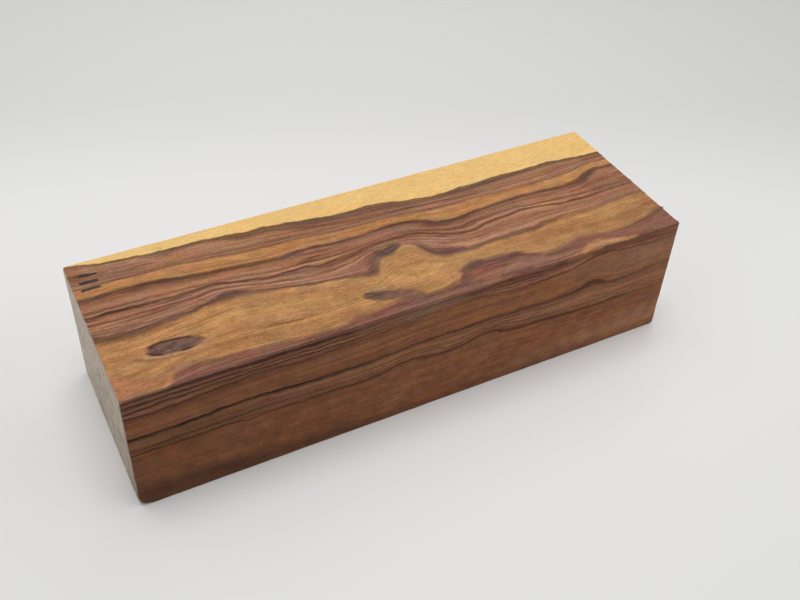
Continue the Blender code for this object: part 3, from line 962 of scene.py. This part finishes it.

# Where each band of painted shade begins and ends, in metres, and how much light it takes
PAINTED_SHADE_BEHIND = (0.035, 0.119, 0.156)
PAINTED_SHADE_OUTWARD = (0.0, 0.30, 0.183)
floor_mesh = bpy.data.meshes.new("paper")
floor_corners = [(FLOOR_HALF * x, FLOOR_HALF * y, 0.0) for x, y in ((-1, -1), (1, -1), (1, 1), (-1, 1))]
floor_mesh.from_pydata(floor_corners, [], [(0, 1, 2, 3)])
paper = bpy.data.materials.new("pale_paper")
paper.use_nodes = True
paper_nodes = paper.node_tree.nodes
paper_links = paper.node_tree.links
paper_surface = paper_nodes["Principled BSDF"]
paper_place = paper_nodes.new("ShaderNodeTexCoord").outputs["Object"]
paper_away = paper_nodes.new("ShaderNodeVectorMath")
paper_away.operation = "DOT_PRODUCT"
paper_away.inputs[1].default_value = GREYER_TOWARDS
paper_out = paper_nodes.new("ShaderNodeVectorMath")
paper_out.operation = "DISTANCE"
paper_out.inputs[1].default_value = BRIGHTEST_AT
paper_painted_shades = []
for measure, (begins, ends, loss) in ((paper_away, PAINTED_SHADE_BEHIND), (paper_out, PAINTED_SHADE_OUTWARD)):
    paper_links.new(paper_place, measure.inputs[0])
    grey = paper_nodes.new("ShaderNodeMapRange")
    grey.interpolation_type = "SMOOTHSTEP"
    grey.inputs[1].default_value = begins
    grey.inputs[2].default_value = ends
    grey.inputs[4].default_value = loss
    paper_links.new(measure.outputs["Value"], grey.inputs[0])
    paper_painted_shades.append(grey.outputs[0])
paper_painted_shade = paper_nodes.new("ShaderNodeMath")
paper_colour = paper_nodes.new("ShaderNodeMix")
paper_colour.data_type = "RGBA"
paper_colour.inputs[6].default_value = PAPER
paper_colour.inputs[7].default_value = NO_LIGHT
paper_links.new(paper_painted_shades[0], paper_painted_shade.inputs[0])
paper_links.new(paper_painted_shades[1], paper_painted_shade.inputs[1])
paper_links.new(paper_painted_shade.outputs[0], paper_colour.inputs[0])
paper_links.new(paper_colour.outputs[2], paper_surface.inputs["Base Color"])
paper_surface.inputs["Roughness"].default_value = 0.9
paper_surface.inputs["Specular IOR Level"].default_value = 0.1
floor_mesh.materials.append(paper)
floor = bpy.data.objects.new("paper", floor_mesh)
floor.location.z = -PAPER_BELOW
bpy.context.scene.collection.objects.link(floor)

# Seven broad soft lamps stand round the block, the strongest right over it, and a pale room fills
# in the rest. The room looks brighter than the light it gives, like a wall far behind the paper.
ROOM = (1.0, 0.995, 0.985, 1.0)
ROOM_LIGHT = 0.12
ROOM_SEEN = 0.64
room = bpy.data.worlds.new("room")
room.use_nodes = True
room_nodes = room.node_tree.nodes
room_nodes["Background"].inputs["Color"].default_value = ROOM
seen = room_nodes.new("ShaderNodeLightPath")
strength = room_nodes.new("ShaderNodeMapRange")
strength.inputs["To Min"].default_value = ROOM_LIGHT
strength.inputs["To Max"].default_value = ROOM_SEEN
room_links = room.node_tree.links
room_links.new(seen.outputs["Is Camera Ray"], strength.inputs["Value"])
room_links.new(strength.outputs[0], room_nodes["Background"].inputs["Strength"])
bpy.context.scene.world = room

LAMP_AWAY = 6.0
LAMP_ACROSS = 4.4


def soft_light(name, azimuth, elevation, power):
    """A broad round lamp, aimed at the block: where it stands in degrees, and its watts."""
    lamp = bpy.data.lights.new(name, "AREA")
    lamp.shape = "DISK"
    lamp.size = LAMP_ACROSS
    lamp.energy = power
    across = math.cos(math.radians(elevation))
    way = Vector((
        across * math.cos(math.radians(azimuth)),
        across * math.sin(math.radians(azimuth)),
        math.sin(math.radians(elevation)),
    ))
    hung = bpy.data.objects.new(name, lamp)
    hung.location = way * LAMP_AWAY
    hung.rotation_euler = (-way).to_track_quat("-Z", "Y").to_euler()
    bpy.context.scene.collection.objects.link(hung)


soft_light("overhead_light", 0, 90, 208)
soft_light("left_fill", 180, 30, 51)
soft_light("back_left_fill", 135, 55, 38)
soft_light("right_fill", 0, 30, 42)
soft_light("front_right_fill", 315, 30, 52)
soft_light("front_left_fill", 235, 25, 26)
soft_light("back_right_fill", 45, 42, 44)

bpy.context.scene.view_settings.view_transform = "Standard"

# The camera looks down on the block from the front and left, close enough that its edges draw
# together towards the right. It is held a few degrees out of level.
AZIMUTH = math.radians(29.48)
ELEVATION = math.radians(41.73)
ROLL = math.radians(3.13)
DISTANCE = 0.2270
ASIDE = 0.0038
UPWARD = -0.0006
LENS = 45.6
SENSOR = 36.0
NEAREST = 0.01
forward = Vector((
    math.sin(AZIMUTH) * math.cos(ELEVATION),
    math.cos(AZIMUTH) * math.cos(ELEVATION),
    -math.sin(ELEVATION),
))
level_right = Vector((math.cos(AZIMUTH), -math.sin(AZIMUTH), 0.0))
level_up = level_right.cross(forward)
right = math.cos(ROLL) * level_right + math.sin(ROLL) * level_up
up = math.cos(ROLL) * level_up - math.sin(ROLL) * level_right
lens = bpy.data.cameras.new("camera")
lens.lens = LENS
lens.sensor_width = SENSOR
lens.clip_start = NEAREST
camera = bpy.data.objects.new("camera", lens)
camera.matrix_world = Matrix((
    (right.x, up.x, -forward.x, 0.0),
    (right.y, up.y, -forward.y, 0.0),
    (right.z, up.z, -forward.z, 0.0),
    (0.0, 0.0, 0.0, 1.0),
))
middle = Vector((0.0, 0.0, HEIGHT * MM / 2))
camera.location = middle - forward * DISTANCE + right * ASIDE + up * UPWARD
bpy.context.scene.collection.objects.link(camera)
bpy.context.scene.camera = camera
